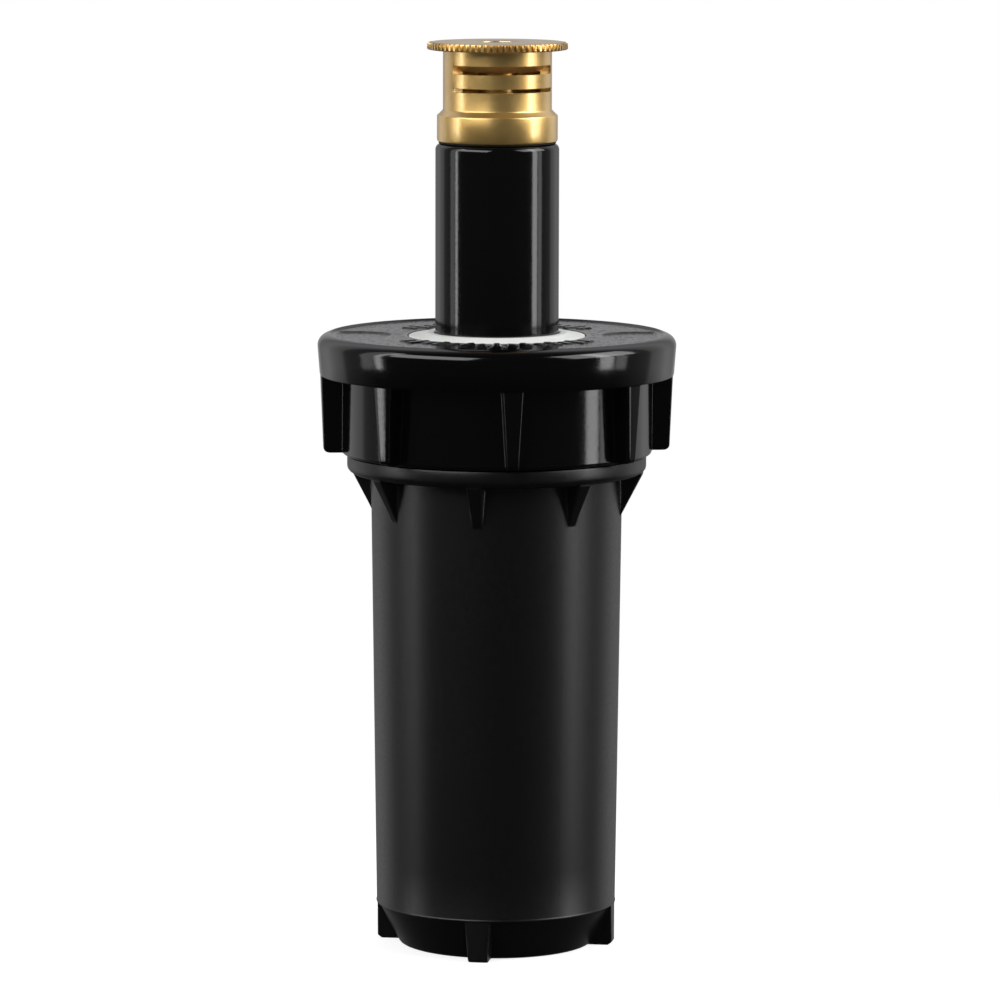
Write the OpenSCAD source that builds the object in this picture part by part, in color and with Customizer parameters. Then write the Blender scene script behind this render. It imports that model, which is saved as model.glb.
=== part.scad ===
// Pop up sprinkler: a lawn spray head with a two inch stroke, drawn with its riser up.
// Millimetres. The origin is the centre of the flat underside, and +Z is the sprinkler's axis.
// Angles are about +Z from +X. The side with the two spray slits faces away from +Y.

/* [Body] */
// Diameter of the flat underside
base_d = 31.6; // [30:0.1:33]
// Height of the tapered base below the step in the wall
base_h = 6.6; // [5.5:0.1:7]
// Diameter of the body wall just above the step
body_low_d = 38.4; // [38.2:0.1:38.8]
// Diameter of the body wall under the flange
body_high_d = 40.2; // [39.8:0.1:40.6]
// Height of the underside of the flange
flange_z = 76.15; // [75:0.05:78]
// Diameter of the flange that the cap closes on
flange_d = 47.8; // [47:0.1:48.6]
// Thickness of the flange
flange_t = 2.85; // [2.4:0.05:3.2]
// Number of gussets under the flange
gusset_count = 8; // [4:1:12]
// Number of feet round the base
foot_count = 4; // [3:1:6]
// Turn of the feet and gussets about the axis, in degrees
body_phase = -8.7; // [-22:0.1:22]

/* [Inlet] */
// Radius at the crests of the inlet thread
inlet_crest_r = 9.4; // [9.3:0.05:9.5]
// Radius at the roots of the inlet thread
inlet_root_r = 10.6; // [10.4:0.05:10.7]
// Pitch of the inlet thread, 14 to the inch
inlet_pitch = 1.814; // [1.7:0.001:1.9]
// Depth of the threaded inlet
inlet_depth = 13; // [12.5:0.1:13.2]

/* [Cap] */
// Diameter across the top edge of the cap
cap_d = 57.2; // [56.8:0.1:58]
// Outer diameter of the cap's skirt between the ribs
skirt_d = 49.6; // [49.2:0.1:50]
// Height of the rim round the top of the cap
rim_h = 6.6; // [6.2:0.1:7]
// Height of the whole cap
cap_h = 19.2; // [19:0.05:19.5]
// Number of grip ribs round the skirt
rib_count = 8; // [6:1:12]
// Turn of the grip ribs about the axis, in degrees
rib_phase = 5.3; // [-22:0.1:22]
// Diameter of the hole that shows the white ring
cap_hole_d = 28.4; // [28.2:0.1:28.6]

/* [Riser] */
// Outer diameter of the riser
riser_d = 19.7; // [19.6:0.05:19.8]
// Height of the shoulder at the top of the riser
riser_top_z = 128.7; // [127:0.1:130]
// Travel of the riser
stroke = 44.5; // [42:0.5:44.5]

/* [Spring] */
// Diameter of the spring wire
wire_d = 1.2; // [1:0.05:1.25]
// Mean radius of the spring coils
coil_r = 12.75; // [12.6:0.05:12.9]
// Number of coils
coil_count = 16; // [12:1:17]

/* [Nozzle] */
// Diameter of the collar at the foot of the nozzle
collar_d = 19.2; // [19:0.1:19.4]
// Diameter of the slitted part of the nozzle
barrel_d = 17.3; // [17.1:0.1:17.5]
// Diameter of the knurled disc
disc_d = 22.34; // [22:0.02:22.6]
// Number of knurls round the disc
knurl_count = 72; // [60:4:84]
// Width of the spray pattern, in degrees
spray_arc = 132; // [90:1:180]
// Middle of the spray pattern, in degrees
spray_mid = -77; // [-90:1:-30]

/* [Hidden] */
$fn = 96;

// Colours
black_satin = "#1d1d1f";
black_gloss = "#121214";
black_rubber = "#18181a";
white_acetal = "#e9eae6";
grey_acetal = "#8d9094";
steel = "#b9bcc0";
brass = "#b08a45";

// Body: the chamber that the riser slides in
foot_r = 19.15;
chamber_floor_z = 14.5;
chamber_low_r = 17;
chamber_high_r = 17.6;
key_tip_r = 15;
key_w = 2;
key_top_z = 80;
neck_r = 21.6;
neck_bore_r = 18.4;
neck_top_z = flange_z + flange_t + 13.4;
gusset_low_z = flange_z - 6.7;
gusset_r = 23.5;

// Cap: levels are counted down from its top edge
cap_z = flange_z + flange_t + 0.2;
cap_top_z = cap_z + cap_h;
cap_face_z = cap_top_z - 0.3;
cap_under_z = cap_top_z - 2.4;
rim_low_z = cap_top_z - rim_h;
cap_bore_r = 22.9;
rim_low_r = cap_d / 2 - 0.35;
rim_bore_r = cap_d / 2 - 2.1;
border_r = 26.6;
pocket_top_z = cap_top_z - 3;
rib_low_z = cap_z + 0.25;

// Cap thread: ridges on the neck, and the cap's own ridges just below them
thread_pitch = 3.2;
thread_drop = 1.05;
thread_turns = 3;
thread_low_z = cap_z + 3.95;

// Seal stack between the neck and the cap
guide_z = cap_under_z - 2;
guide_flange_r = 21.4;
guide_boss_r = cap_hole_d / 2 - 0.15;
guide_edge_z = cap_face_z - 0.05;
guide_top_z = guide_edge_z + 0.55;
riser_r = riser_d / 2;
guide_bore_r = riser_r + 0.15;
seal_pocket_r = 13;
gasket_in_r = 18.8;

// Spring and ratchet
spring_top_z = guide_z - 0.6;
flange_low_z = chamber_floor_z + 1 + stroke;
stem_flange_t = 3.3;
stem_flange_r = 14.4;
hub_z = flange_low_z + stem_flange_t;
hub_h = 3.4;
ratchet_z = hub_z + 0.3;
ratchet_h = 3.3;
ratchet_r = 16.3;
spring_low_z = ratchet_z + ratchet_h;
tooth_count = 36;
tooth_tip_r = 11.3;

// Riser: a tube with a male thread for the nozzle on its top
stem_bore_r = 7.8;
stub_root_r = 7.45;
stub_crest_r = 7.9;
stub_bore_r = 6.3;
stub_top_z = riser_top_z + 4.9;
fine_pitch = 0.907;

// Filter: hangs in the riser from the top of its thread
filter_flange_r = 7.3;
filter_r = 6;
mesh_out_r = 5.1;
mesh_in_r = 4.85;
throat_r = 2.2;
filter_top_z = stub_top_z + 0.8;
mesh_top_z = filter_top_z - 4.4;
mesh_low_z = mesh_top_z - 28;

// Nozzle
nozzle_z = riser_top_z + 0.25;
collar_h = 4.3;
barrel_z = nozzle_z + collar_h + 0.75;
disc_z = barrel_z + 9.45;
disc_h = 1.3;
nozzle_bore_r = 6.9;
slit_tilt = 30;
wide_slit_z = disc_z - 3.6;
wide_slit_h = 1.3;
thin_slit_z = disc_z - 6.45;
thin_slit_h = 0.6;
plug_r = nozzle_bore_r - 0.05;
post_r = 3;
post_low_z = disc_z - 7.8;
screw_hole_r = 1.6;
screw_r = 1.5;
screw_tip_z = filter_top_z - 1.6;
screw_head_r = 2.6;
recess_r = 2.9;
recess_z = disc_z - 0.9;
head_low_z = disc_z + 0.15;
head_h = 1;
seal_z = disc_z - 5.2;
seal_section_r = 0.24;

// Points of an arc, for rounded corners of an outline
function arc(x, y, r, from, to, steps = 6) =
    [for (i = [0:steps]) let (a = from + (to - from) * i / steps) [x + r * cos(a), y + r * sin(a)]];

// Radius of the tapered body wall at height z
function wall_r(z) =
    body_low_d / 2 + (body_high_d - body_low_d) / 2 * (z - base_h) / (flange_z - base_h);

// Outline given as [radius, height] points, turned about the axis
module turned(points) {
    rotate_extrude() polygon(points);
}

module ring(in_r, out_r, low_z, high_z) {
    turned([[in_r, low_z], [out_r, low_z], [out_r, high_z], [in_r, high_z]]);
}

// Part of a ring, centred on an angle
module ring_sector(points, mid, width) {
    rotate([0, 0, mid - width / 2]) rotate_extrude(angle = width) polygon(points);
}

module around(count, phase = 0) {
    for (k = [0:count - 1]) rotate([0, 0, phase + 360 * k / count]) children();
}

// Upright web that runs outwards along +X, and grows from low_w wide to high_w wide
module web(in_r, out_r, low_z, low_w, high_z, high_w) {
    translate([in_r, 0, 0]) rotate([90, 0, 90]) linear_extrude(out_r - in_r)
        polygon([[-low_w / 2, low_z], [low_w / 2, low_z], [high_w / 2, high_z], [-high_w / 2, high_z]]);
}

// Ridges of a thread, each a ring whose crest is at crest_r
module thread_ridges(root_r, crest_r, low_z, pitch, count, root_half, crest_half) {
    for (k = [0:count - 1])
        translate([0, 0, low_z + k * pitch])
            turned([[root_r, -root_half], [crest_r, -crest_half], [crest_r, crest_half], [root_r, root_half]]);
}

module body_shell() {
    turned([[0, 0], [base_d / 2 - 0.4, 0], [base_d / 2, 0.4], [body_low_d / 2 - 0.3, base_h],
        [body_low_d / 2, base_h], [body_high_d / 2, flange_z], [flange_d / 2 - 0.8, flange_z],
        [flange_d / 2, flange_z + 0.8], [flange_d / 2, flange_z + flange_t], [neck_r, flange_z + flange_t],
        [neck_r, neck_top_z - 0.4], [neck_r - 0.4, neck_top_z], [0, neck_top_z]]);
    thread_ridges(neck_r - 0.3, neck_r + 0.95, thread_low_z, thread_pitch, thread_turns, 0.96, 0.3);
}

module feet() {
    intersection() {
        around(foot_count, body_phase) web(13, 21, -1, 2.95, base_h, 4.1);
        turned([[13.5, 0], [foot_r - 0.6, 0], [foot_r, 0.6], [foot_r, base_h], [13.5, base_h]]);
    }
}

module gussets() {
    intersection() {
        around(gusset_count, body_phase) web(18.5, 25, gusset_low_z, 1.4, flange_z, 2.4);
        turned([[18.8, gusset_low_z], [wall_r(gusset_low_z), gusset_low_z], [gusset_r, flange_z],
            [18.8, flange_z]]);
    }
}

module chamber() {
    turned([[0, chamber_floor_z], [chamber_low_r - 1.5, chamber_floor_z],
        [chamber_low_r, chamber_floor_z + 1.5], [chamber_high_r, key_top_z],
        [neck_bore_r, key_top_z + 0.8], [neck_bore_r, neck_top_z + 1], [0, neck_top_z + 1]]);
}

module inlet() {
    turned([[0, -1], [inlet_root_r + 1.1, -1], [inlet_crest_r, 1.1], [inlet_crest_r, inlet_depth],
        [inlet_crest_r - 0.6, inlet_depth + 0.6], [inlet_crest_r - 0.6, chamber_floor_z + 1],
        [0, chamber_floor_z + 1]]);
    thread_ridges(inlet_crest_r - 0.3, inlet_root_r, 2, inlet_pitch, 6, 0.9, 0.1);
}

// Keys on the chamber wall that keep the ratchet ring from turning
module chamber_keys() {
    key_in = chamber_floor_z - 0.5;
    around(4) translate([key_tip_r, -key_w / 2, key_in])
        cube([chamber_high_r + 0.6 - key_tip_r, key_w, key_top_z - 1.2 - key_in]);
}

module body_case() {
    color(black_satin) {
        difference() {
            union() {
                body_shell();
                feet();
                gussets();
            }
            chamber();
            inlet();
        }
        chamber_keys();
    }
}

module cap_shell() {
    turned(concat(
        [[cap_hole_d / 2, cap_under_z], [cap_hole_d / 2, cap_face_z - 0.2], [cap_hole_d / 2 + 0.2, cap_face_z],
            [border_r - 0.3, cap_face_z], [border_r, cap_top_z], [border_r + 0.25, cap_top_z]],
        arc(cap_d / 2 - 1.7, cap_top_z - 1.85, 1.7, 70, 0),
        [[rim_low_r, rim_low_z], [rim_bore_r, rim_low_z], [rim_bore_r, pocket_top_z],
            [skirt_d / 2, pocket_top_z], [skirt_d / 2, cap_z + 0.7], [skirt_d / 2 - 0.7, cap_z],
            [cap_bore_r, cap_z], [cap_bore_r, cap_under_z - 0.6], [cap_bore_r - 0.6, cap_under_z]]));
    thread_ridges(cap_bore_r + 0.3, cap_bore_r - 0.95, thread_low_z - thread_drop, thread_pitch,
        thread_turns, 0.96, 0.3);
}

module grip_ribs() {
    intersection() {
        around(rib_count, rib_phase)
            web(skirt_d / 2 - 0.6, 30, rib_low_z, 1.8, pocket_top_z + 0.2, 3.65);
        turned(concat([[24, rib_low_z]], arc(cap_d / 2 - 1.65, rib_low_z + 0.8, 0.8, -90, 0),
            [[rim_low_r - 0.06, rim_low_z + 0.1], [rim_bore_r + 0.5, rim_low_z + 0.3],
            [rim_bore_r + 0.5, pocket_top_z + 0.2], [24, pocket_top_z + 0.2]]));
    }
}

// Two sunk thumb pads, one on each side, with rounded inner ends
module thumb_pads() {
    pad_w = 11.4;
    intersection() {
        for (side = [0, 180])
            rotate([0, 0, side]) translate([0, 0, cap_face_z - 0.3]) linear_extrude(1) {
                translate([22.4, 0]) circle(d = pad_w);
                translate([22.4, -pad_w / 2]) square([6, pad_w]);
            }
        ring(14, border_r - 0.8, cap_face_z - 0.3, cap_face_z + 1);
    }
}

// Raised dashes, long and short by turns, over the near and far arcs of the cap's face
module face_dashes() {
    dash_pitch = 7.6;
    for (side = [-90, 90], k = [-7:7]) {
        half = k % 2 == 0 ? 2.2 : 1.3;
        ring_sector([[17.4 - half, cap_face_z - 0.2], [17.4 + half, cap_face_z - 0.2],
            [17.4 + half, cap_face_z + 0.22], [17.4 - half, cap_face_z + 0.22]], side + k * dash_pitch, 4.2);
    }
}

module screw_cap() {
    color(black_gloss) {
        difference() {
            union() {
                cap_shell();
                grip_ribs();
            }
            thumb_pads();
        }
        face_dashes();
    }
}

module guide_ring() {
    color(white_acetal)
        turned([[seal_pocket_r, guide_z], [guide_flange_r, guide_z], [guide_flange_r, cap_under_z],
            [guide_boss_r, cap_under_z], [guide_boss_r, guide_edge_z - 0.2], [guide_boss_r - 0.2, guide_edge_z],
            [guide_bore_r + 1.2, guide_top_z], [guide_bore_r + 0.3, guide_top_z],
            [guide_bore_r, guide_top_z - 0.3], [guide_bore_r, guide_edge_z - 1.45],
            [seal_pocket_r, guide_edge_z - 1.45]]);
}

// Rubber heel with a thin lip that leans up towards the riser
module wiper_seal() {
    heel_z = guide_z + 1;
    lip_r = riser_r + 0.1;
    color(black_rubber)
        turned([[seal_pocket_r, heel_z], [seal_pocket_r, heel_z + 1.6], [11.4, heel_z + 1.6],
            [lip_r, heel_z + 1.5], [lip_r, heel_z + 1.15], [11, heel_z + 0.7], [11, heel_z]]);
}

// Sleeve that holds the seal up, and centres the top of the spring
module seal_retainer() {
    color(grey_acetal)
        turned([[riser_r + 0.35, guide_z - 3], [11.6, guide_z - 3], [11.6, guide_z],
            [seal_pocket_r - 0.05, guide_z], [seal_pocket_r - 0.05, guide_z + 1], [riser_r + 0.35, guide_z + 1]]);
}

module cap_gasket() {
    color(black_rubber) ring(gasket_in_r, guide_flange_r, neck_top_z, guide_z);
}

module spring_washer() {
    color(steel) ring(11.8, 16.2, spring_top_z, guide_z);
}

// Height of the wire's centre after a share u of the coils: the end coils lie almost shut
function coil_z(u) =
    let (low = spring_low_z + wire_d / 2, high = spring_top_z - wire_d / 2, end_rise = wire_d * 1.08,
        n = u * coil_count, inner = (high - low - 2 * end_rise) / (coil_count - 2))
    n < 1 ? low + end_rise * n :
    n > coil_count - 1 ? high - end_rise * (coil_count - n) :
    low + end_rise + inner * (n - 1);

// The spring's wire is swept along its coils with an eight sided section
module retract_spring() {
    turns_steps = 24;
    sides = 8;
    last = coil_count * turns_steps;
    points = [for (i = [0:last], j = [0:sides - 1])
        let (turn = 360 * i / turns_steps, a = 360 * j / sides, r = coil_r + wire_d / 2 * cos(a))
        [r * cos(turn), r * sin(turn), coil_z(i / last) + wire_d / 2 * sin(a)]];
    sides_faces = [for (i = [0:last - 1], j = [0:sides - 1])
        let (next = (j + 1) % sides)
        [i * sides + j, i * sides + next, (i + 1) * sides + next, (i + 1) * sides + j]];
    ends = [[for (j = [0:sides - 1]) sides - 1 - j], [for (j = [0:sides - 1]) last * sides + j]];
    color(steel) polyhedron(points, concat(sides_faces, ends), convexity = 10);
}

// Ring keyed to the chamber wall, with pawls just clear of the hub's teeth
module ratchet_ring() {
    slot_w = key_w + 0.8;
    color(grey_acetal) {
        difference() {
            ring(tooth_tip_r + 0.5, ratchet_r, ratchet_z, ratchet_z + ratchet_h);
            around(4) translate([key_tip_r - 0.45, -slot_w / 2, ratchet_z - 1])
                cube([5, slot_w, ratchet_h + 2]);
        }
        around(4, 45) translate([0, 0, ratchet_z]) linear_extrude(ratchet_h)
            polygon([[tooth_tip_r + 0.15, -0.15], [12.6, -0.9], [12.6, 0.9], [tooth_tip_r + 0.15, 0.15]]);
    }
}

// Toothed collar fixed on the riser's foot
module ratchet_hub() {
    root_r = tooth_tip_r - 0.4;
    color(black_satin) {
        ring(riser_r + 0.05, root_r, hub_z, hub_z + hub_h);
        around(tooth_count) translate([0, 0, hub_z]) linear_extrude(hub_h)
            polygon([[root_r - 0.3, -0.6], [tooth_tip_r, -0.2], [tooth_tip_r, 0.2], [root_r - 0.3, 0.6]]);
    }
}

module riser_stem() {
    color(black_gloss) {
        turned(concat(
            [[stem_bore_r, flange_low_z], [stem_flange_r - 0.5, flange_low_z],
                [stem_flange_r, flange_low_z + 0.5], [stem_flange_r, hub_z - 0.4],
                [stem_flange_r - 0.4, hub_z], [riser_r, hub_z]],
            arc(riser_r - 1, riser_top_z - 1, 1, 0, 90),
            [[stub_root_r, riser_top_z], [stub_root_r, stub_top_z - 0.2], [stub_root_r - 0.2, stub_top_z],
                [stub_bore_r, stub_top_z], [stub_bore_r, riser_top_z - 2], [stem_bore_r, riser_top_z - 4]]));
        thread_ridges(stub_root_r - 0.2, stub_crest_r, riser_top_z + 0.95, fine_pitch, 4, 0.36, 0.06);
    }
}

module filter_cage() {
    collar_z = mesh_top_z;
    window_low_z = mesh_low_z;
    waist_z = (mesh_top_z + mesh_low_z) / 2;
    color(white_acetal) {
        turned([[throat_r, filter_top_z - 1.8], [throat_r + 1, filter_top_z - 1.8],
            [throat_r + 1, filter_top_z - 0.8], [filter_flange_r, filter_top_z - 0.8],
            [filter_flange_r, filter_top_z], [throat_r, filter_top_z]]);
        ring(mesh_in_r, filter_r, collar_z, filter_top_z - 0.7);
        ring(mesh_out_r + 0.05, filter_r, waist_z - 0.6, waist_z + 0.6);
        turned([[0, window_low_z - 1.6], [filter_r - 0.6, window_low_z - 1.6], [filter_r, window_low_z - 1],
            [filter_r, window_low_z], [0, window_low_z]]);
        intersection() {
            around(4, 45) translate([4, -0.7, window_low_z - 0.5]) cube([3, 1.4, collar_z - window_low_z + 1]);
            ring(mesh_out_r + 0.05, filter_r, window_low_z - 0.5, collar_z + 0.5);
        }
    }
}

module filter_mesh() {
    color(steel) ring(mesh_in_r, mesh_out_r, mesh_low_z, mesh_top_z);
}

module nozzle_gasket() {
    color(black_rubber) ring(stub_crest_r + 0.15, riser_r - 0.5, riser_top_z, nozzle_z);
}

// Slits cut the barrel's wall over the spray pattern: the wide one slopes up and out, the thin one is level
module spray_slits() {
    in_r = nozzle_bore_r - 0.5;
    out_r = barrel_d / 2 + 0.5;
    drop = (out_r - in_r) * tan(slit_tilt);
    high_z = wide_slit_z + 0.5 * tan(slit_tilt);
    ring_sector([[in_r, high_z - drop], [out_r, high_z], [out_r, high_z + wide_slit_h],
        [in_r, high_z - drop + wide_slit_h]], spray_mid, spray_arc);
    ring_sector([[in_r, thin_slit_z], [out_r, thin_slit_z], [out_r, thin_slit_z + thin_slit_h],
        [in_r, thin_slit_z + thin_slit_h]], spray_mid, spray_arc);
}

module nozzle_body() {
    thread_r = stub_crest_r + 0.15;
    collar_top_z = nozzle_z + collar_h;
    color(brass) {
        difference() {
            turned([[thread_r, nozzle_z], [collar_d / 2 - 0.2, nozzle_z], [collar_d / 2, nozzle_z + 0.2],
                [collar_d / 2, collar_top_z - 0.15], [collar_d / 2 - 0.15, collar_top_z],
                [barrel_d / 2, barrel_z], [barrel_d / 2, disc_z], [nozzle_bore_r, disc_z],
                [nozzle_bore_r, filter_top_z], [thread_r, filter_top_z]]);
            spray_slits();
        }
        thread_ridges(thread_r + 0.2, stub_root_r + 0.15, riser_top_z + 0.95 + fine_pitch / 2, fine_pitch,
            4, 0.36, 0.06);
    }
}

// Knurled disc with a plug that closes the barrel, and a post that the flow screw runs in
module nozzle_head() {
    knurl_root_r = disc_d / 2 - 0.35;
    top_z = disc_z + disc_h;
    color(brass) {
        difference() {
            union() {
                ring(0, knurl_root_r, disc_z, top_z);
                ring(0, plug_r, disc_z - 1.7, disc_z + 0.2);
                turned([[0, post_low_z], [post_r, post_low_z], [post_r, disc_z - 3.6],
                    [post_r + 1.6, disc_z - 1.6], [0, disc_z - 1.6]]);
            }
            ring(0, screw_hole_r, post_low_z - 1, top_z + 1);
            ring(0, recess_r, recess_z, top_z + 1);
        }
        around(knurl_count) translate([0, 0, disc_z]) linear_extrude(disc_h)
            polygon([[knurl_root_r - 0.3, -0.32], [disc_d / 2, -0.12], [disc_d / 2, 0.12],
                [knurl_root_r - 0.3, 0.32]]);
    }
}

module flow_screw() {
    groove_half = seal_section_r + 0.06;
    color(steel) difference() {
        turned([[0, screw_tip_z], [0.5, screw_tip_z], [screw_r, screw_tip_z + 3], [screw_r, seal_z - groove_half],
            [screw_r - 0.45, seal_z - groove_half], [screw_r - 0.45, seal_z + groove_half],
            [screw_r, seal_z + groove_half], [screw_r, head_low_z], [screw_head_r, head_low_z],
            [screw_head_r, head_low_z + head_h - 0.2], [screw_head_r - 0.2, head_low_z + head_h],
            [0, head_low_z + head_h]]);
        translate([-4, -0.4, head_low_z + head_h - 0.55]) cube([8, 0.8, 1]);
    }
}

module screw_seal() {
    color(black_rubber) translate([0, 0, seal_z]) rotate_extrude()
        translate([screw_r - 0.45 + 0.01 + seal_section_r, 0]) circle(r = seal_section_r, $fn = 24);
}

body_case();
screw_cap();
guide_ring();
wiper_seal();
seal_retainer();
cap_gasket();
spring_washer();
retract_spring();
ratchet_ring();
ratchet_hub();
riser_stem();
filter_cage();
filter_mesh();
nozzle_gasket();
nozzle_body();
nozzle_head();
flow_screw();
screw_seal();
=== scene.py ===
"""Looks of the pop up sprinkler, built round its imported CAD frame.

Lengths are in millimetres in the outlines, and in metres for the lights, the floor and the camera.
The sprinkler's axis is Z.
"""

import math

import bmesh
import bpy
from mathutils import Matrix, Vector, noise


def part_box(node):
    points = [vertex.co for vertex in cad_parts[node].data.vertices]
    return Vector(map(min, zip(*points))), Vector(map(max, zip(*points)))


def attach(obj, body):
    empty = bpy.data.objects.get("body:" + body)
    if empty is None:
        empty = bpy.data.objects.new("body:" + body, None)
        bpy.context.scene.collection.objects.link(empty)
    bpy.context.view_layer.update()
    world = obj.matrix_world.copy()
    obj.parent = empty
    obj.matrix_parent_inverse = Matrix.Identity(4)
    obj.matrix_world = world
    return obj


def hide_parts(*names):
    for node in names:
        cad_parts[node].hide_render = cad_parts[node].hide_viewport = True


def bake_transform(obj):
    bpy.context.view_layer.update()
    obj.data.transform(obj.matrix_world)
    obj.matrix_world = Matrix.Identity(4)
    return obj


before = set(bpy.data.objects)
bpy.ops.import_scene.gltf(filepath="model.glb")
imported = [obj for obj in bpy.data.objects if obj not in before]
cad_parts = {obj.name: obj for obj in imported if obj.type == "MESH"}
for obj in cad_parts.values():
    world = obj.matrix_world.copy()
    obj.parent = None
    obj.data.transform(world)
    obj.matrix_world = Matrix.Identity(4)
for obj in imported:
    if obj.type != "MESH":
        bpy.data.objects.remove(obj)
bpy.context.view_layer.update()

MM = 0.001


def node_mm(node):
    """Lowest and highest corner of a CAD node, in millimetres."""
    low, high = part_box(node)
    return low / MM, high / MM


# ---------------------------------------------------------------- sizes that the frame gives
BODY_LOW, BODY_HIGH = node_mm("body_case")
CAP_LOW, CAP_HIGH = node_mm("screw_cap")
GUIDE_LOW, GUIDE_HIGH = node_mm("guide_ring")
STEM_LOW, STEM_HIGH = node_mm("riser_stem")
NOZZLE_LOW, NOZZLE_HIGH = node_mm("nozzle_body")
HEAD_LOW, HEAD_HIGH = node_mm("nozzle_head")
SPRING_LOW, SPRING_HIGH = node_mm("retract_spring")
WASHER_LOW, WASHER_HIGH = node_mm("nozzle_gasket")

CAP_R = CAP_HIGH.x
FLANGE_R = BODY_HIGH.x
FLANGE_TOP = CAP_LOW.z - 0.2
FLANGE_LOW = FLANGE_TOP - 2.85
CAP_TOP = CAP_HIGH.z
CAP_FACE = CAP_TOP - 0.3
CAP_UNDER = CAP_TOP - 2.4
RIM_LOW = CAP_TOP - 6.6
POCKET_TOP = CAP_TOP - 3
DISC_R = HEAD_HIGH.x
DISC_LOW = NOZZLE_HIGH.z
DISC_TOP = HEAD_HIGH.z
COLLAR_R = NOZZLE_HIGH.x
STEM_TOP = WASHER_LOW.z

# ---------------------------------------------------------------- sizes and turns that the boxes don't show
STEP_Z = 6.6
BARREL_R = 8.65
STEM_R = 9.85
BODY_PHASE = math.radians(-8.7)
RIB_PHASE = math.radians(5.3)
SPRAY_MID = math.radians(-77)
SPRAY_ARC = math.radians(132)


# ---------------------------------------------------------------- mesh helpers
def arc(x, y, radius, start, end, steps=5):
    """Points of an arc, with the angles in degrees."""
    angles = (math.radians(start + (end - start) * i / steps) for i in range(steps + 1))
    return [(x + radius * math.cos(a), y + radius * math.sin(a)) for a in angles]


def rounded(corners, steps=4):
    """Closed outline of (r, z, fillet radius) corners, where each fillet is an arc and 0 stays sharp."""
    out = []
    count = len(corners)
    for i, (x, y, fillet) in enumerate(corners):
        here = Vector((x, y))
        before = Vector(corners[i - 1][:2]) - here
        after = Vector(corners[(i + 1) % count][:2]) - here
        if fillet <= 0:
            out.append((x, y))
            continue
        turn = before.angle(after)
        reach = fillet / math.tan(turn / 2)
        start = here + before.normalized() * reach
        end = here + after.normalized() * reach
        halfway = (before.normalized() + after.normalized()).normalized()
        centre = here + halfway * (fillet / math.sin(turn / 2))
        from_centre = start - centre
        sweep = from_centre.angle_signed(end - centre)
        for k in range(steps + 1):
            angle = -sweep * k / steps
            spot = centre + Vector((
                from_centre.x * math.cos(angle) - from_centre.y * math.sin(angle),
                from_centre.x * math.sin(angle) + from_centre.y * math.cos(angle)))
            out.append((spot.x, spot.y))
    return out


def new_mesh(name, points, faces, sharp=38):
    """Object from points in millimetres, smooth except at edges sharper than the angle in degrees."""
    mesh = bpy.data.meshes.new(name)
    mesh.from_pydata([Vector(p) * MM for p in points], [], faces)
    work = bmesh.new()
    work.from_mesh(mesh)
    bmesh.ops.remove_doubles(work, verts=work.verts, dist=2e-7)
    bmesh.ops.recalc_face_normals(work, faces=work.faces)
    work.to_mesh(mesh)
    work.free()
    mesh.shade_smooth()
    mesh.set_sharp_from_angle(angle=math.radians(sharp))
    obj = bpy.data.objects.new(name, mesh)
    bpy.context.scene.collection.objects.link(obj)
    return obj


def loft(name, rings, sharp=38):
    """Closed surface through rings of equal point count, where the last ring joins the first."""
    size = len(rings[0])
    points = [p for ring in rings for p in ring]
    faces = []
    for i in range(len(rings)):
        low, high = i * size, (i + 1) % len(rings) * size
        for j in range(size):
            k = (j + 1) % size
            faces.append((low + j, low + k, high + k, high + j))
    return new_mesh(name, points, faces, sharp)


def circle_ring(radius, z, angles):
    return [(radius * math.cos(a), radius * math.sin(a), z) for a in angles]


def lathe(name, outline, segments=192, sharp=38):
    """Closed outline of (r, z) points turned about the axis."""
    angles = [2 * math.pi * k / segments for k in range(segments)]
    return loft(name, [circle_ring(max(r, 0.0005), z, angles) for r, z in outline], sharp)


def add_ridges(low, high, root, crest, z_first, pitch, count, half_root, half_crest):
    """Outline of a run of thread ridges going up, from low to high."""
    out = [(root, low)]
    for k in range(count):
        z = z_first + k * pitch
        out += [(root, z - half_root), (crest, z - half_crest),
                (crest, z + half_crest), (root, z + half_root)]
    out.append((root, high))
    return out


def web_ring(z, base_r, webs, phase, foot=0.45, tip=0.25):
    """Ring round a base circle with one upright web for each (outer radius, half width) of webs.

    Feet and tips of the webs are rounded. A web no higher than the circle leaves it round."""
    ring = []
    sector = math.pi / len(webs)
    for k, (web_r, half) in enumerate(webs):
        height = max(web_r - base_r, 0.01)
        toe = min(foot, height * 0.5)
        nose = min(tip, height * 0.3, half * 0.6)
        centre_v = math.sqrt((base_r + toe) ** 2 - (half + toe) ** 2)
        flat = (half - nose) / web_r
        side = [(web_r * math.sin(flat * i / 3), web_r * math.cos(flat * i / 3)) for i in range(4)]
        edge_v = web_r * math.cos(flat) - nose
        side += arc(half - nose, edge_v, nose, 60, 0, 2)
        side += [(half, edge_v + (centre_v - edge_v) * i / 3) for i in (1, 2)]
        end = math.degrees(math.atan2(-centre_v, -(half + toe)))
        side += arc(half + toe, centre_v, toe, 180, 360 + end, 5)
        last = math.atan2(*side[-1])
        side += [(base_r * math.sin(a), base_r * math.cos(a))
                 for a in (last + (sector - last) * i / 10 for i in range(1, 11))]
        if web_r <= base_r + 0.001:
            side = [(base_r * math.sin(math.atan2(*p)), base_r * math.cos(math.atan2(*p))) for p in side]
        local = side[:0:-1] + [(-u, v) for u, v in side[:-1]]
        centre = phase + 2 * sector * k
        cos_c, sin_c = math.cos(centre), math.sin(centre)
        ring += [(v * cos_c + u * sin_c, v * sin_c - u * cos_c, z) for u, v in local]
    return ring


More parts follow.
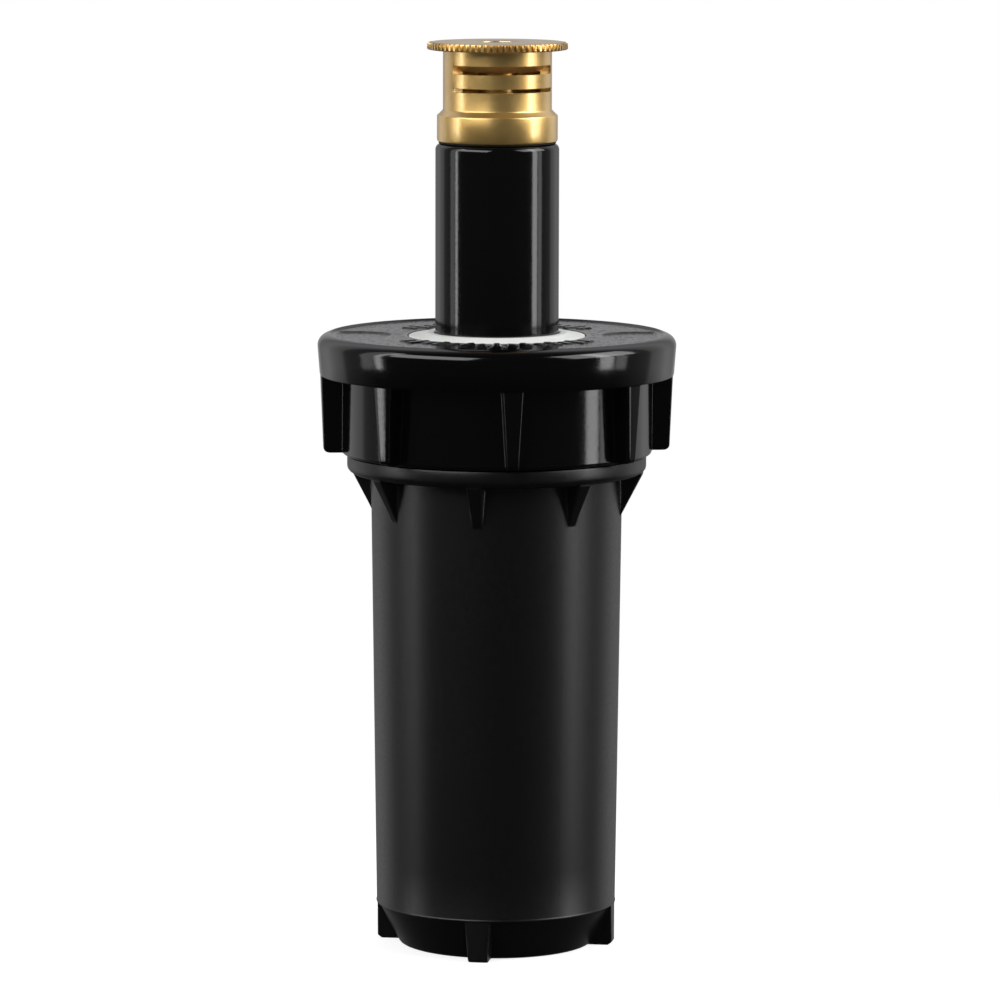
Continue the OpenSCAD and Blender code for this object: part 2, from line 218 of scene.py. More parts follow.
def ring_angles(ring):
    return [math.atan2(y, x) for x, y, _ in ring]


# ---------------------------------------------------------------- pieces
def wall_r(z):
    """Radius of the tapered body wall."""
    return 19.2 + (20.1 - 19.2) * (z - STEP_Z) / (FLANGE_LOW - STEP_Z)


def body_case():
    """Housing: feet, gussets and flange outside, chamber and a true helical pipe thread inside."""
    count = 8
    gusset_h = 6.7
    gusset_low = FLANGE_LOW - gusset_h
    rings = []

    def no_webs(radius):
        return [(radius, 1.5)] * count

    def foot_webs(z, radius, base):
        # The feet stand at every second gusset, and are a little wider at the top.
        half = (2.95 + 1.15 * (z + 1) / (STEP_Z + 1)) / 2
        return [(radius, half) if k % 2 == 0 else (base, half) for k in range(count)]

    def add(z, base, webs):
        rings.append(web_ring(z, base, webs, BODY_PHASE))

    for base, z in arc(15.0, 0.8, 0.8, -90, -22, 5):
        add(z, base, foot_webs(z, 18.55 + 0.6 * min(1, z / 0.45), base))
    base_low_r, base_high_r, base_low_z = 15.78, 18.9, 0.6
    for z in (1.5, 3, 4.5, 5.8, STEP_Z - 0.1):
        base = base_low_r + (base_high_r - base_low_r) * (z - base_low_z) / (STEP_Z - base_low_z)
        add(z, base, foot_webs(z, 19.15, base))
    add(STEP_Z, 18.95, foot_webs(STEP_Z, 19.15, 18.95))
    # A small bead runs round the step, and the wall above it is plain up to the gussets.
    for radius, rise in ((19.19, 0.01), (19.26, 0.06), (19.28, 0.14),
                         (19.26, 0.24), (19.22, 0.31), (19.2, 0.4)):
        add(STEP_Z + rise, radius, no_webs(radius))
    for z in (14, 28, 42, 56, 66, gusset_low - 0.25, gusset_low - 0.1):
        add(z, wall_r(z), no_webs(wall_r(z)))

    def gusset_webs(z, base):
        share = max(0, (z - gusset_low) / gusset_h)
        outer = wall_r(gusset_low) + (23.5 - wall_r(gusset_low)) * min(share, 1)
        return [(max(outer, base), 0.7 + 0.5 * share)] * count

    for i in range(11):
        z = gusset_low + 6.5 * (i / 10) ** 1.2
        add(z, wall_r(z), gusset_webs(z, wall_r(z)))
    for base, z in ((20.2, FLANGE_LOW - 0.1), (20.4, FLANGE_LOW), (22.6, FLANGE_LOW),
                    (23.1, FLANGE_LOW + 0.08), (23.55, FLANGE_LOW + 0.38), (23.82, FLANGE_LOW + 0.75)):
        add(z, base, gusset_webs(min(z, FLANGE_LOW), base))
    angles = ring_angles(rings[-1])

    top = BODY_HIGH.z
    for radius, z in ([(FLANGE_R, FLANGE_LOW + 1.1), (FLANGE_R, FLANGE_TOP - 0.3),
                       (FLANGE_R - 0.08, FLANGE_TOP - 0.08), (FLANGE_R - 0.3, FLANGE_TOP)]
                      + add_ridges(FLANGE_TOP, top - 0.4, 21.6, 22.55, FLANGE_TOP + 4, 3.2, 3, 0.8, 0.3)
                      + [(21.2, top), (18.6, top), (18.4, top - 0.2), (18.4, 80.8), (17.6, 80)]
                      + [(17, 16), (16.6, 15), (15.5, 14.5), (9, 14.5), (8.8, 14.3), (8.8, 13.6)]):
        rings.append(circle_ring(radius, z, angles))

    # The pipe thread: a V groove whose height depends on the turn, faded out at its deep end.
    crest, root, pitch, deep, mouth = 9.4, 10.6, 1.814, 13.0, 1.1
    steps = 84
    for i in range(steps + 1):
        z = deep + (mouth - deep) * i / steps
        fade = min(1, (deep - z) / 1.2)
        ring = []
        for a in angles:
            turn = (z / pitch - a / (2 * math.pi)) % 1
            groove = max(0, 1 - abs(turn - 0.5) / 0.42)
            radius = crest + (root - crest) * min(groove, 0.93) * fade
            ring.append((radius * math.cos(a), radius * math.sin(a), z))
        rings.append(ring)
    rings.append(circle_ring(10.7, 0.35, angles))
    rings.append(circle_ring(10.95, 0.0, angles))
    return loft("body_shell", rings)


def cap_pattern(x, y):
    """Height of the cap's face above its plain level: thumb pads, dashes and leather grain."""
    radius, angle = math.hypot(x, y), math.atan2(y, x)
    # Two sunken thumb pads, round at their inner ends, which reach the border.
    pad_half, pad_centre, pad_reach, pad_deep = 5.7, 22.4, 25.8, 0.25
    inside = pad_half - math.hypot(min(abs(x) - pad_centre, 0), y)
    inside = min(inside, pad_reach - radius)
    height = -pad_deep * min(1, max(0, inside / 0.4))
    # Two rows of raised dashes, alternately long and short, in front and at the back.
    dash_mid, dash_high, dash_last = 17.4, 0.22, 7
    pitch, half_a = math.radians(7.6), math.radians(2.1)
    side = math.pi / 2 if y > 0 else -math.pi / 2
    place = (angle - side) / pitch
    k = round(place)
    if abs(k) <= dash_last:
        half_r = 2.2 if k % 2 == 0 else 1.3
        gap_a = (half_a - abs(place - k) * pitch) * radius
        gap_r = half_r - abs(radius - dash_mid)
        height += dash_high * min(1, max(0, min(gap_a, gap_r) / 0.14))
    # The grain fades out towards the hole and the border.
    grain_high = 0.036
    fade = min(1, max(0, (26 - radius) / 0.5)) * min(1, max(0, (radius - 14.6) / 0.4))
    cell = noise.noise(Vector((x, y, 0)) * 1.7) + 0.6 * noise.noise(Vector((x, y, 4)) * 3.4)
    return height + grain_high * cell * fade


def screw_cap():
    """Cap: a ribbed skirt and a rim with a pattern on its face, joined into one solid."""
    count = 8
    skirt_r = 24.8
    low = CAP_LOW.z
    rib_low = low + 0.25
    rings = []

    def half_w(z):
        return (1.8 + 1.85 * (z - rib_low) / (POCKET_TOP + 0.2 - rib_low)) / 2

    def add(z, base, rib_r):
        ribs = [(max(rib_r, base), max(half_w(z), 0.85))] * count
        rings.append(web_ring(z, base, ribs, RIB_PHASE, 0.18, 0.3))

    def edge_r(z):
        """Radius of the skirt, whose lower edge is rounded."""
        edge = 0.6
        return skirt_r - edge + math.sqrt(max(0, edge ** 2 - max(0, low + edge - z) ** 2))

    # The skirt's rounded edge, then the ribs' nearly level undersides and their round noses.
    for z in (low, low + 0.03, low + 0.1, low + 0.2):
        add(z, edge_r(z), edge_r(z))
    for rib_r in (skirt_r, 25.4, 26.2, 26.9):
        add(rib_low + 0.002 * rib_r, edge_r(rib_low), rib_r)
    nose_top = rib_low + 0.87
    for rib_r, z in arc(26.95, nose_top, 0.8, -75, 0, 7):
        add(z, edge_r(z), rib_r)
    # Up the ribs, which lean out a little, and on into the rim. Then down the threaded inside.
    for i in range(1, 7):
        z = nose_top + (RIM_LOW - nose_top) * i / 6
        add(z, skirt_r, 27.75 + 0.44 * i / 6)
    add(RIM_LOW + 0.25, skirt_r, 27.3)
    add(POCKET_TOP + 0.2, skirt_r, 27.0)
    angles = ring_angles(rings[-1])
    inner = add_ridges(low + 0.15, POCKET_TOP - 0.4, 22.9, 21.95, FLANGE_TOP + 2.95, 3.2, 3, 0.8, 0.3)
    for radius, z in [(23.4, POCKET_TOP + 0.2)] + inner[::-1] + [(23.05, low)]:
        rings.append(circle_ring(radius, z, angles))
    skirt = loft("cap_skirt", rings)

    segments = 720
    turn = [2 * math.pi * k / segments for k in range(segments)]
    hole_r, border_r = 14.2, 26.6
    face_rings = []
    steps = 76
    for i in range(steps + 1):
        radius = hole_r + 0.2 + (border_r - 0.5 - hole_r) * i / steps
        spots = [(radius * math.cos(a), radius * math.sin(a)) for a in turn]
        face_rings.append([(x, y, CAP_FACE + cap_pattern(x, y)) for x, y in spots])
    outer = ([(border_r - 0.18, CAP_FACE + 0.05), (border_r - 0.05, CAP_FACE + 0.2),
              (border_r + 0.12, CAP_TOP - 0.03), (border_r + 0.25, CAP_TOP)]
             + arc(CAP_R - 1.7, CAP_TOP - 1.85, 1.7, 70, 0, 12)
             + [(CAP_R - 0.33, RIM_LOW + 0.35), (CAP_R - 0.42, RIM_LOW + 0.08), (CAP_R - 0.65, RIM_LOW),
                (CAP_R - 2.0, RIM_LOW), (CAP_R - 2.1, RIM_LOW + 0.1), (CAP_R - 2.1, POCKET_TOP - 0.3),
                (CAP_R - 2.4, POCKET_TOP), (23.2, POCKET_TOP), (23.0, POCKET_TOP + 0.2), (22.3, CAP_UNDER),
                (hole_r, CAP_UNDER), (hole_r, CAP_FACE - 0.22), (hole_r + 0.06, CAP_FACE - 0.06)])
    rim = loft("cap_rim", face_rings + [circle_ring(r, z, turn) for r, z in outer])
    join = skirt.modifiers.new("join", "BOOLEAN")
    join.operation = "UNION"
    join.object = rim
    join.solver = "EXACT"
    bake_modifiers(skirt)
    bpy.data.objects.remove(rim)
    skirt.name = "cap_shell"
    skirt.data.shade_smooth()
    skirt.data.set_sharp_from_angle(angle=math.radians(38))
    return skirt


def bake_modifiers(obj):
    """Replaces the object's mesh by what its modifiers make of it."""
    graph = bpy.context.evaluated_depsgraph_get()
    graph.update()
    mesh = bpy.data.meshes.new_from_object(obj.evaluated_get(graph))
    obj.modifiers.clear()
    obj.data = mesh


def guide_ring():
    """White ring in the cap's hole. Its face rises towards the riser."""
    low, top = GUIDE_LOW.z, GUIDE_HIGH.z
    edge = top - 0.55
    return lathe("white_ring", rounded([
        (13, low, 0), (21.4, low, 0.2), (21.4, low + 2, 0.2), (14.05, low + 2, 0),
        (14.05, edge, 0.15), (12.3, edge + 0.2, 0.3), (11.2, top, 0.3), (10, top, 0.2),
        (10, edge - 1.45, 0), (13, edge - 1.45, 0)]))


def riser_stem():
    """Riser tube, with its foot flange below and the nozzle's thread above."""
    low, high = STEM_LOW.z, STEM_HIGH.z
    foot_top = low + 3.3
    thread = add_ridges(STEM_TOP, high - 0.2, 7.45, 7.9, STEM_TOP + 0.95, 0.907, 4, 0.34, 0.06)
    outline = (
        [(7.8, low + 0.3), (8.1, low), (13.9, low), (14.3, low + 0.15), (14.4, low + 0.5),
         (14.4, foot_top - 0.5), (14.25, foot_top - 0.12), (13.9, foot_top), (STEM_R + 0.3, foot_top),
         (STEM_R + 0.08, foot_top + 0.08), (STEM_R, foot_top + 0.3), (STEM_R, low + 20), (STEM_R, low + 40)]
        + arc(STEM_R - 1, STEM_TOP - 1, 1, 0, 90, 8)
        + thread
        + [(7.25, high), (6.4, high), (6.3, high - 0.1), (6.3, STEM_TOP - 2), (7.8, STEM_TOP - 4)])
    return lathe("riser_tube", outline, 256)


def nozzle_gasket():
    low, high = WASHER_LOW.z, WASHER_HIGH.z
    return lathe("nozzle_washer", rounded([
        (8.05, low, 0), (9.35, low, 0.12), (9.35, high, 0.12), (8.05, high, 0)], 3), 128)


def nozzle_body():
    """Brass barrel over a collar, with a wide slanted slit and a thin level slit over the spray arc."""
    low, bore_top = NOZZLE_LOW.z, STEM_HIGH.z + 0.8
    collar_top = low + 4.3
    barrel_low = collar_top + 0.75
    bore = 6.9
    wide_z, wide_h = DISC_LOW - 3.6, 1.3
    thin_z, thin_h = DISC_LOW - 6.45, 0.6
    drop = (BARREL_R - bore) * math.tan(math.radians(30))
    lip = 0.07
    # Each slit's mouth has two bevelled lips outside, and two corners in the bore.
    outside = (
        [(8.05, low + 0.1), (8.15, low), (COLLAR_R - 0.35, low), (COLLAR_R - 0.1, low + 0.1),
         (COLLAR_R, low + 0.35), (COLLAR_R, collar_top - 0.22), (COLLAR_R - 0.05, collar_top - 0.07),
         (COLLAR_R - 0.17, collar_top + 0.02)]
        + [(BARREL_R + 0.12, barrel_low - 0.1), (BARREL_R + 0.03, barrel_low + 0.02),
           (BARREL_R, barrel_low + 0.14)]
        + [(BARREL_R, thin_z - lip), (BARREL_R - lip, thin_z), (BARREL_R - lip, thin_z + thin_h),
           (BARREL_R, thin_z + thin_h + lip), (BARREL_R, wide_z - lip), (BARREL_R - lip, wide_z),
           (BARREL_R - lip, wide_z + wide_h), (BARREL_R, wide_z + wide_h + lip), (BARREL_R, DISC_LOW)])
    thin_at = outside.index((BARREL_R - lip, thin_z))
    wide_at = outside.index((BARREL_R - lip, wide_z))
    inside = [(bore, DISC_LOW), (bore, wide_z + wide_h - drop), (bore, wide_z - drop),
              (bore, thin_z + thin_h), (bore, thin_z), (bore, bore_top), (8.05, bore_top)]
    first_in = len(outside)
    outline = outside + inside
    segments = 192
    size = len(outline)
    start = SPRAY_MID - SPRAY_ARC / 2
    # Columns are spread so that the slits end on a column.
    slit_cols = round(segments * SPRAY_ARC / (2 * math.pi))
    plain_cols = segments - slit_cols
    plain_arc = 2 * math.pi - SPRAY_ARC
    angles = [start + SPRAY_ARC * k / slit_cols for k in range(slit_cols)]
    angles += [start + SPRAY_ARC + plain_arc * k / plain_cols for k in range(plain_cols)]
    points = []
    for c, a in enumerate(angles):
        for r, z in outline:
            # Beside the slits the barrel is plain, with no lips.
            radius = BARREL_R if c > slit_cols and r == BARREL_R - lip else r
            points.append((radius * math.cos(a), radius * math.sin(a), z))
    slits = [(thin_at, thin_at + 1, first_in + 4, first_in + 3),
             (wide_at, wide_at + 1, first_in + 2, first_in + 1)]
    mouths = {slit[0] for slit in slits} | {first_in + 3, first_in + 1}
    faces = []
    for c in range(segments):
        near, far = c * size, (c + 1) % segments * size
        for i in range(size):
            if c < slit_cols and i in mouths:
                continue
            j = (i + 1) % size
            faces.append((near + i, far + i, far + j, near + j))
        if c < slit_cols:
            for out_low, out_high, in_low, in_high in slits:
                faces.append((near + out_low, far + out_low, far + in_low, near + in_low))
                faces.append((near + in_high, far + in_high, far + out_high, near + out_high))
    for c in (0, slit_cols):
        for slit in slits:
            out_low, out_high, in_low, in_high = (c * size + s for s in slit)
            faces.append((out_low, out_high, in_high, in_low))
    return new_mesh("nozzle_barrel", points, faces)


def nozzle_head():
    """Knurled disc on a plug and a post, with a recess for the flow screw."""
    teeth, per_tooth = 72, 10
    bevel_r, crest = DISC_R - 0.75, DISC_R

    def tooth(share):
        """Height of the knurl over one tooth, from 0 to 1: a flat crest between sloping sides."""
        near = abs((share % 1) - 0.5) * 2
        return 1 - min(1, max(0, (near - 0.44) / 0.32)) ** 1.3

    total = teeth * per_tooth
    angles = [2 * math.pi * k / total for k in range(total)]

    def knurl(z, grow):
        """Ring of teeth, which have grown by a share of their full height."""
        ring = []
        for k, a in enumerate(angles):
            radius = bevel_r + (crest - bevel_r) * grow * (0.35 + 0.65 * tooth(k / per_tooth))
            ring.append((radius * math.cos(a), radius * math.sin(a), z))
        return ring

    post_low = HEAD_LOW.z
    rings = [circle_ring(r, z, angles) for r, z in (
        (1.6, post_low), (2.85, post_low), (3, post_low + 0.15), (3, DISC_LOW - 3.6), (4.6, DISC_LOW - 1.7),
        (6.85, DISC_LOW - 1.7), (6.85, DISC_LOW), (BARREL_R + 0.1, DISC_LOW), (DISC_R - 1.0, DISC_LOW))]
    rings += [knurl(DISC_LOW, 0.0), knurl(DISC_LOW + 0.1, 0.8), knurl(DISC_LOW + 0.22, 1.0),
              knurl(DISC_TOP - 0.22, 1.0), knurl(DISC_TOP - 0.1, 0.8), knurl(DISC_TOP, 0.0)]
    recess = DISC_LOW - 0.9
    rings += [circle_ring(r, z, angles) for r, z in (
        (DISC_R - 1.0, DISC_TOP), (6.0, DISC_TOP), (3.15, DISC_TOP), (2.95, DISC_TOP - 0.06),
        (2.9, DISC_TOP - 0.25), (2.9, recess + 0.1), (2.8, recess), (1.7, recess), (1.6, recess - 0.1))]
    return loft("nozzle_disc", rings)


def retract_spring():
    """Wire coils between the ratchet ring and the washer, with nearly closed end coils."""
    coils, wire, mean = 16, 0.6, 12.75
    low, high = SPRING_LOW.z + wire, SPRING_HIGH.z - wire
    end_rise = 1.3
    inner = (high - low - 2 * end_rise) / (coils - 2)
    per_turn, sides = 40, 12

    def height(turn):
        if turn < 1:
            return low + end_rise * turn
        if turn > coils - 1:
            return high - end_rise * (coils - turn)
        return low + end_rise + inner * (turn - 1)

    last = coils * per_turn
    points, faces = [], []
    for i in range(last + 1):
        turn = i / per_turn
        a = 2 * math.pi * turn
        for j in range(sides):
            b = 2 * math.pi * j / sides
            radius = mean + wire * math.cos(b)
            z = height(turn) + wire * math.sin(b)
            points.append((radius * math.cos(a), radius * math.sin(a), z))
    for i in range(last):
        for j in range(sides):
            k = (j + 1) % sides
            faces.append((i * sides + j, i * sides + k, (i + 1) * sides + k, (i + 1) * sides + j))
    faces.append(tuple(range(sides)))
    faces.append(tuple(last * sides + j for j in range(sides)))
    return new_mesh("spring_coils", points, faces, 50)


# ---------------------------------------------------------------- materials
def shader(name, base, roughness, metallic=0.0, **more):
    """Principled material and its node tree. Plain numbers sit on the shader's own sockets."""
    mat = bpy.data.materials.new(name)
    mat.use_nodes = True
    tree = mat.node_tree
    bsdf = tree.nodes["Principled BSDF"]
    bsdf.inputs["Base Color"].default_value = (*base, 1)
    bsdf.inputs["Roughness"].default_value = roughness
    bsdf.inputs["Metallic"].default_value = metallic
    for socket, value in more.items():
        bsdf.inputs[socket.replace("_", " ")].default_value = value
    return mat, tree, bsdf


def add_node(tree, kind, **values):
    """Node of a kind, with values put on its inputs or, if it has no such input, on the node."""
    item = tree.nodes.new(kind)
    for key, value in values.items():
        label = key.replace("_", " ")
        if label in item.inputs:
            item.inputs[label].default_value = value
        else:
            setattr(item, key, value)
    return item


def coordinates(tree, stretch=(1, 1, 1)):
    """Object coordinates, stretched for grain that runs one way."""
    where = tree.nodes.new("ShaderNodeTexCoord")
    scale = add_node(tree, "ShaderNodeMapping", Scale=stretch)
    tree.links.new(where.outputs["Object"], scale.inputs["Vector"])
    return scale.outputs["Vector"]


def noise_of(tree, vector, scale, detail=3.0, rough=0.5):
    item = add_node(tree, "ShaderNodeTexNoise", Scale=scale, Detail=detail, Roughness=rough)
    tree.links.new(vector, item.inputs["Vector"])
    return item.outputs["Fac"]


def spread(tree, value, low, high, from_low=0.3, from_high=0.7):
    """Value mapped from its usual range to low..high."""
    item = tree.nodes.new("ShaderNodeMapRange")
    item.inputs["From Min"].default_value = from_low
    item.inputs["From Max"].default_value = from_high
    item.inputs["To Min"].default_value = low
    item.inputs["To Max"].default_value = high
    tree.links.new(value, item.inputs["Value"])
    return item.outputs["Result"]


def tint(tree, bsdf, value, first, second):
    """Base colour that varies between two colours."""
    ramp = tree.nodes.new("ShaderNodeValToRGB")
    ramp.color_ramp.elements[0].color = (*first, 1)
    ramp.color_ramp.elements[1].color = (*second, 1)
    tree.links.new(value, ramp.inputs["Fac"])
    tree.links.new(ramp.outputs["Color"], bsdf.inputs["Base Color"])


def bump(tree, bsdf, height, strength, distance):
    """Bump in metres, chained after any bump that is already there."""
    item = add_node(tree, "ShaderNodeBump", Strength=strength, Distance=distance)
    tree.links.new(height, item.inputs["Height"])
    before = bsdf.inputs["Normal"]
    if before.is_linked:
        tree.links.new(before.links[0].from_socket, item.inputs["Normal"])
    tree.links.new(item.outputs["Normal"], before)


def moulded_plastic(name, first, second, roughness, texture, depth, wave=0.0):
    """Moulded plastic: fine tool texture, slow waves from shrinkage, and a little variation in gloss."""
    mat, tree, bsdf = shader(name, first, roughness)
    where = coordinates(tree)
    slow = noise_of(tree, where, 55, 2)
    fine = noise_of(tree, where, texture, 4, 0.6)
    tint(tree, bsdf, slow, first, second)
    tree.links.new(spread(tree, fine, roughness - 0.04, roughness + 0.05), bsdf.inputs["Roughness"])
    bump(tree, bsdf, fine, 1.0, depth)
    if wave:
        bump(tree, bsdf, slow, 1.0, wave)
    return mat


def turned_brass(name):
    """Satin brass with fine turning lines round the axis, patches of deeper colour and a clear lacquer."""
    mat, tree, bsdf = shader(name, (0.62, 0.39, 0.12), 0.3, 0.93,
                             Anisotropic=0.2, Anisotropic_Rotation=0.25,
                             Coat_Weight=0.8, Coat_Roughness=0.16, Coat_IOR=1.7)
    around = add_node(tree, "ShaderNodeTangent", direction_type="RADIAL", axis="Z")
    tree.links.new(around.outputs["Tangent"], bsdf.inputs["Tangent"])
    rings = coordinates(tree, (1, 1, 14))
    lines = noise_of(tree, rings, 420, 4, 0.65)
    where = coordinates(tree)
    cloud = noise_of(tree, where, 160, 4, 0.6)
    tint(tree, bsdf, spread(tree, cloud, 0, 1), (0.72, 0.46, 0.14), (0.92, 0.62, 0.22))
    tree.links.new(spread(tree, lines, 0.3, 0.4), bsdf.inputs["Roughness"])
    bump(tree, bsdf, lines, 1.0, 4e-6)
    return mat


def brushed_steel(name):
    mat, tree, bsdf = shader(name, (0.6, 0.61, 0.63), 0.3, 1.0)
    lines = noise_of(tree, coordinates(tree, (1, 1, 8)), 500, 3, 0.6)
    tint(tree, bsdf, lines, (0.5, 0.51, 0.53), (0.66, 0.67, 0.69))
    tree.links.new(spread(tree, lines, 0.22, 0.4), bsdf.inputs["Roughness"])
    bump(tree, bsdf, lines, 1.0, 4e-6)
    return mat


def filter_cloth(name):
    """Filter cloth: bright cells with dark rims, about 0.35 mm apart."""
    mat, tree, bsdf = shader(name, (0.6, 0.61, 0.63), 0.35, 1.0)
    cells = add_node(tree, "ShaderNodeTexVoronoi", Scale=2800.0)
    tree.links.new(coordinates(tree), cells.inputs["Vector"])
    tint(tree, bsdf, cells.outputs["Distance"], (0.65, 0.66, 0.68), (0.12, 0.12, 0.13))
    bump(tree, bsdf, cells.outputs["Distance"], 1.0, 5e-5)
    return mat


def soft_rubber(name):
    mat, tree, bsdf = shader(name, (0.014, 0.014, 0.015), 0.62, Specular_IOR_Level=0.25)
    grain = noise_of(tree, coordinates(tree), 1500, 4)
    tint(tree, bsdf, grain, (0.003, 0.003, 0.0034), (0.009, 0.009, 0.01))
    bump(tree, bsdf, grain, 1.0, 1e-5)
    return mat


def white_acetal(name):
    mat, tree, bsdf = shader(name, (0.8, 0.81, 0.78), 0.42)
    bsdf.inputs["Subsurface Weight"].default_value = 0.1
    bsdf.inputs["Subsurface Scale"].default_value = 0.001
    fine = noise_of(tree, coordinates(tree), 1300, 4)
    tint(tree, bsdf, fine, (0.78, 0.79, 0.76), (0.86, 0.87, 0.84))
    bump(tree, bsdf, fine, 1.0, 8e-6)
    return mat


def finish_piece(piece, mat, node, body):
    """Gives a made piece its material, and puts it in place of its CAD node.

    A piece with no body is attached to none."""
    piece.data.materials.clear()
    piece.data.materials.append(mat)
    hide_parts(node)
    if body:
        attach(piece, body)


BODY_BLACK = moulded_plastic("body_black", (0.0012, 0.0012, 0.0013), (0.0018, 0.0018, 0.002),
                             0.35, 1900, 6e-6)
CAP_BLACK = moulded_plastic("cap_black", (0.001, 0.001, 0.0011), (0.0016, 0.0016, 0.0018),
                            0.11, 2400, 3e-6, 1.2e-5)
RISER_BLACK = moulded_plastic("riser_black", (0.0016, 0.0016, 0.0018), (0.0024, 0.0024, 0.0026),
                              0.11, 2600, 1.5e-6, 6e-6)
WHITE = white_acetal("white_plastic")
GREY = moulded_plastic("grey_plastic", (0.24, 0.25, 0.27), (0.3, 0.31, 0.33), 0.42, 1500, 8e-6)
RUBBER = soft_rubber("rubber")
STEEL = brushed_steel("steel_wire")
BRASS = turned_brass("brass_turned")
MESH = filter_cloth("filter_cloth")

# ---------------------------------------------------------------- build the pieces
finish_piece(body_case(), BODY_BLACK, "body_case", "housing")
finish_piece(screw_cap(), CAP_BLACK, "screw_cap", "housing")
finish_piece(guide_ring(), WHITE, "guide_ring", "housing")
finish_piece(riser_stem(), RISER_BLACK, "riser_stem", "riser")
finish_piece(nozzle_gasket(), RUBBER, "nozzle_gasket", "riser")
finish_piece(nozzle_body(), BRASS, "nozzle_body", "riser")
finish_piece(nozzle_head(), BRASS, "nozzle_head", "riser")
spring = retract_spring()
finish_piece(spring, STEEL, "retract_spring", None)
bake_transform(spring)

# Nodes whose CAD mesh stays, with a material of their own.
KEPT = {"wiper_seal": RUBBER, "seal_retainer": GREY, "cap_gasket": RUBBER, "spring_washer": STEEL,
        "ratchet_ring": GREY, "ratchet_hub": BODY_BLACK, "filter_cage": WHITE, "filter_mesh": MESH,
        "flow_screw": STEEL, "screw_seal": RUBBER}
for kept_node, kept_mat in KEPT.items():
    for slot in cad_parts[kept_node].material_slots:
        slot.material = kept_mat


# ---------------------------------------------------------------- floor, lights and camera
def make_floor():
    """Round pale floor. It blocks no light and shows in no reflection, but takes the object's shadow."""
    size = 6.0
    gap = 0.00002
    segments = 96
    turn = [2 * math.pi * k / segments for k in range(segments)]
    points = [(size * math.cos(a), size * math.sin(a), -gap) for a in turn]
    mesh = bpy.data.meshes.new("floor_disc")
    mesh.from_pydata(points, [], [tuple(range(segments))])
    floor = bpy.data.objects.new("floor", mesh)
    bpy.context.scene.collection.objects.link(floor)
    mat, tree, bsdf = shader("floor_white", (0.5, 0.5, 0.5), 0.9)
    bsdf.inputs["Specular IOR Level"].default_value = 0.0
    bsdf.inputs["Emission Color"].default_value = (1, 1, 1, 1)
    # Diffuse close by, so that the contact shadow shows, and plain white further off.
    length = add_node(tree, "ShaderNodeVectorMath", operation="LENGTH")
    tree.links.new(coordinates(tree), length.inputs[0])
    near, far = 0.03, 0.16
    glow = spread(tree, length.outputs["Value"], 0.72, 1.0, near, far)
    tree.links.new(glow, bsdf.inputs["Emission Strength"])
    grey = spread(tree, length.outputs["Value"], 0.5, 0.0, near, far)
    tree.links.new(grey, bsdf.inputs["Base Color"])
    mesh.materials.append(mat)
    floor.visible_glossy = False
    floor.visible_shadow = False


def area_lamp(name, shape, width, height, power, place, turn=(0, 0, 0)):
    """Area lamp that the camera doesn't see."""
    lamp = bpy.data.lights.new(name, "AREA")
    lamp.shape = shape
    lamp.size = width
    lamp.size_y = height
    lamp.energy = power
    obj = bpy.data.objects.new(name, lamp)
    obj.location = place
    obj.rotation_euler = turn
    obj.visible_camera = False
    bpy.context.scene.collection.objects.link(obj)
    return obj


def strip_light(name, angle, width, power, low=-0.11, high=1.1, distance=0.9):
    """Upright strip lamp. The angle runs round the axis from the camera's side towards +X, in degrees."""
    turn = math.radians(angle)
    place = (distance * math.sin(turn), -distance * math.cos(turn), (low + high) / 2)
    area_lamp(name, "RECTANGLE", width, high - low, power, place, (math.pi / 2, 0, turn))


def overhead_panel(name, angle, elevation, width, height, power, distance=1.6, aim_z=0.1):
    """Softbox above one side, which the rim's rounded edge and the riser's shoulder mirror."""
    turn, rise = math.radians(angle), math.radians(elevation)
    reach = distance * math.cos(rise)
    place = (reach * math.sin(turn), -reach * math.cos(turn), aim_z + distance * math.sin(rise))
    area_lamp(name, "RECTANGLE", width, height, power, place, (math.pi / 2 - rise, 0, turn))


def top_light():
    """Overhead softbox for the floor and the pale parts, which the gloss doesn't mirror."""
    softbox = area_lamp("top_softbox", "DISK", 2.2, 2.2, 11, (0, -0.3, 2.2))
    softbox.visible_glossy = False


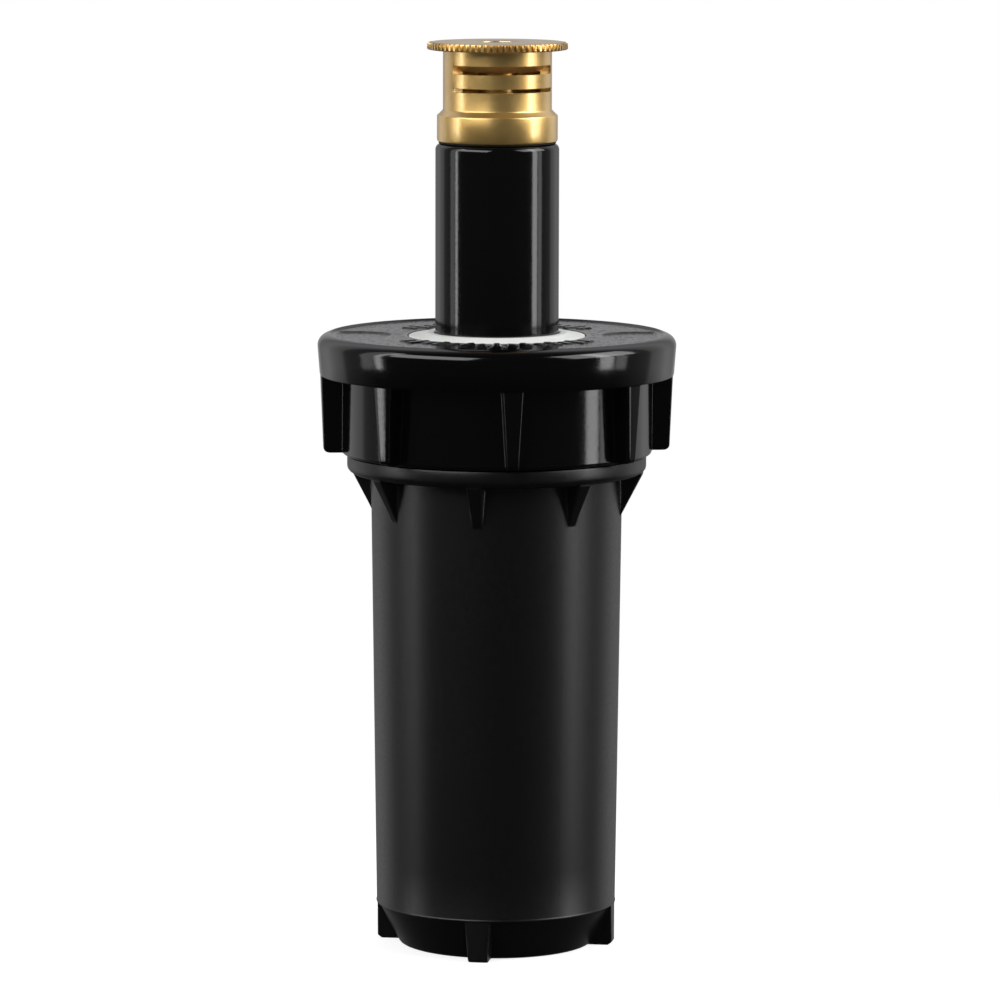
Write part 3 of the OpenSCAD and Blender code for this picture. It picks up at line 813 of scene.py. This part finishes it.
def make_world():
    """Plain white to the camera. The object mirrors a grey room, brighter at the back and dim below."""
    world = bpy.data.worlds.new("studio")
    bpy.context.scene.world = world
    world.use_nodes = True
    tree = world.node_tree
    back = tree.nodes["Background"]
    where = tree.nodes.new("ShaderNodeTexCoord")
    split = tree.nodes.new("ShaderNodeSeparateXYZ")
    tree.links.new(where.outputs["Generated"], split.inputs["Vector"])
    ramp = tree.nodes.new("ShaderNodeValToRGB")
    ramp.color_ramp.elements[0].position = 0.0
    ramp.color_ramp.elements[0].color = (0.03, 0.03, 0.032, 1)
    ramp.color_ramp.elements[1].position = 1.0
    ramp.color_ramp.elements[1].color = (0.45, 0.45, 0.46, 1)
    for position, level in ((0.46, 0.04), (0.6, 0.17), (0.71, 0.22),
                            (0.74, 0.6), (0.88, 0.65), (0.96, 0.28)):
        stop = ramp.color_ramp.elements.new(position)
        stop.color = (level, level, level * 1.02, 1)
    half = add_node(tree, "ShaderNodeMath", operation="MULTIPLY_ADD")
    half.inputs[1].default_value = 0.5
    half.inputs[2].default_value = 0.5
    tree.links.new(split.outputs["Y"], half.inputs[0])
    tree.links.new(half.outputs["Value"], ramp.inputs["Fac"])
    tree.links.new(ramp.outputs["Color"], back.inputs["Color"])
    tree.links.new(spread(tree, split.outputs["Z"], 0.1, 1.0, -0.5, -0.2), back.inputs["Strength"])
    white = add_node(tree, "ShaderNodeBackground", Color=(1, 1, 1, 1), Strength=1.0)
    path = tree.nodes.new("ShaderNodeLightPath")
    mix = tree.nodes.new("ShaderNodeMixShader")
    tree.links.new(path.outputs["Is Camera Ray"], mix.inputs["Fac"])
    tree.links.new(back.outputs["Background"], mix.inputs[1])
    tree.links.new(white.outputs["Background"], mix.inputs[2])
    tree.links.new(mix.outputs["Shader"], tree.nodes["World Output"].inputs["Surface"])


def make_camera():
    """Camera at the photograph's angle: straight in front, a little above, with a long lens."""
    side, distance, height = 0.0003, 0.915, 0.188
    lens, sensor = 207.5, 36.0
    pitch, roll = math.radians(7.253), math.radians(-0.12)
    data = bpy.data.cameras.new("camera")
    data.lens = lens
    data.sensor_width = sensor
    data.clip_start = 0.01
    camera = bpy.data.objects.new("camera", data)
    camera.location = (side, -distance, height)
    camera.rotation_euler = (math.pi / 2 - pitch, roll, 0)
    bpy.context.scene.collection.objects.link(camera)
    bpy.context.scene.camera = camera


make_floor()
strip_light("left_strip", -81, 0.09, 1.65)
strip_light("left_fill", -91, 0.17, 0.72)
strip_light("right_strip", 74, 0.17, 3.1)
strip_light("right_fill", 86, 0.14, 0.87)
overhead_panel("left_panel", -46, 31, 1.6, 0.8, 16)
overhead_panel("right_panel", 76, 34, 1.5, 1.0, 17)
top_light()
make_world()
make_camera()
bpy.context.scene.view_settings.view_transform = "Standard"
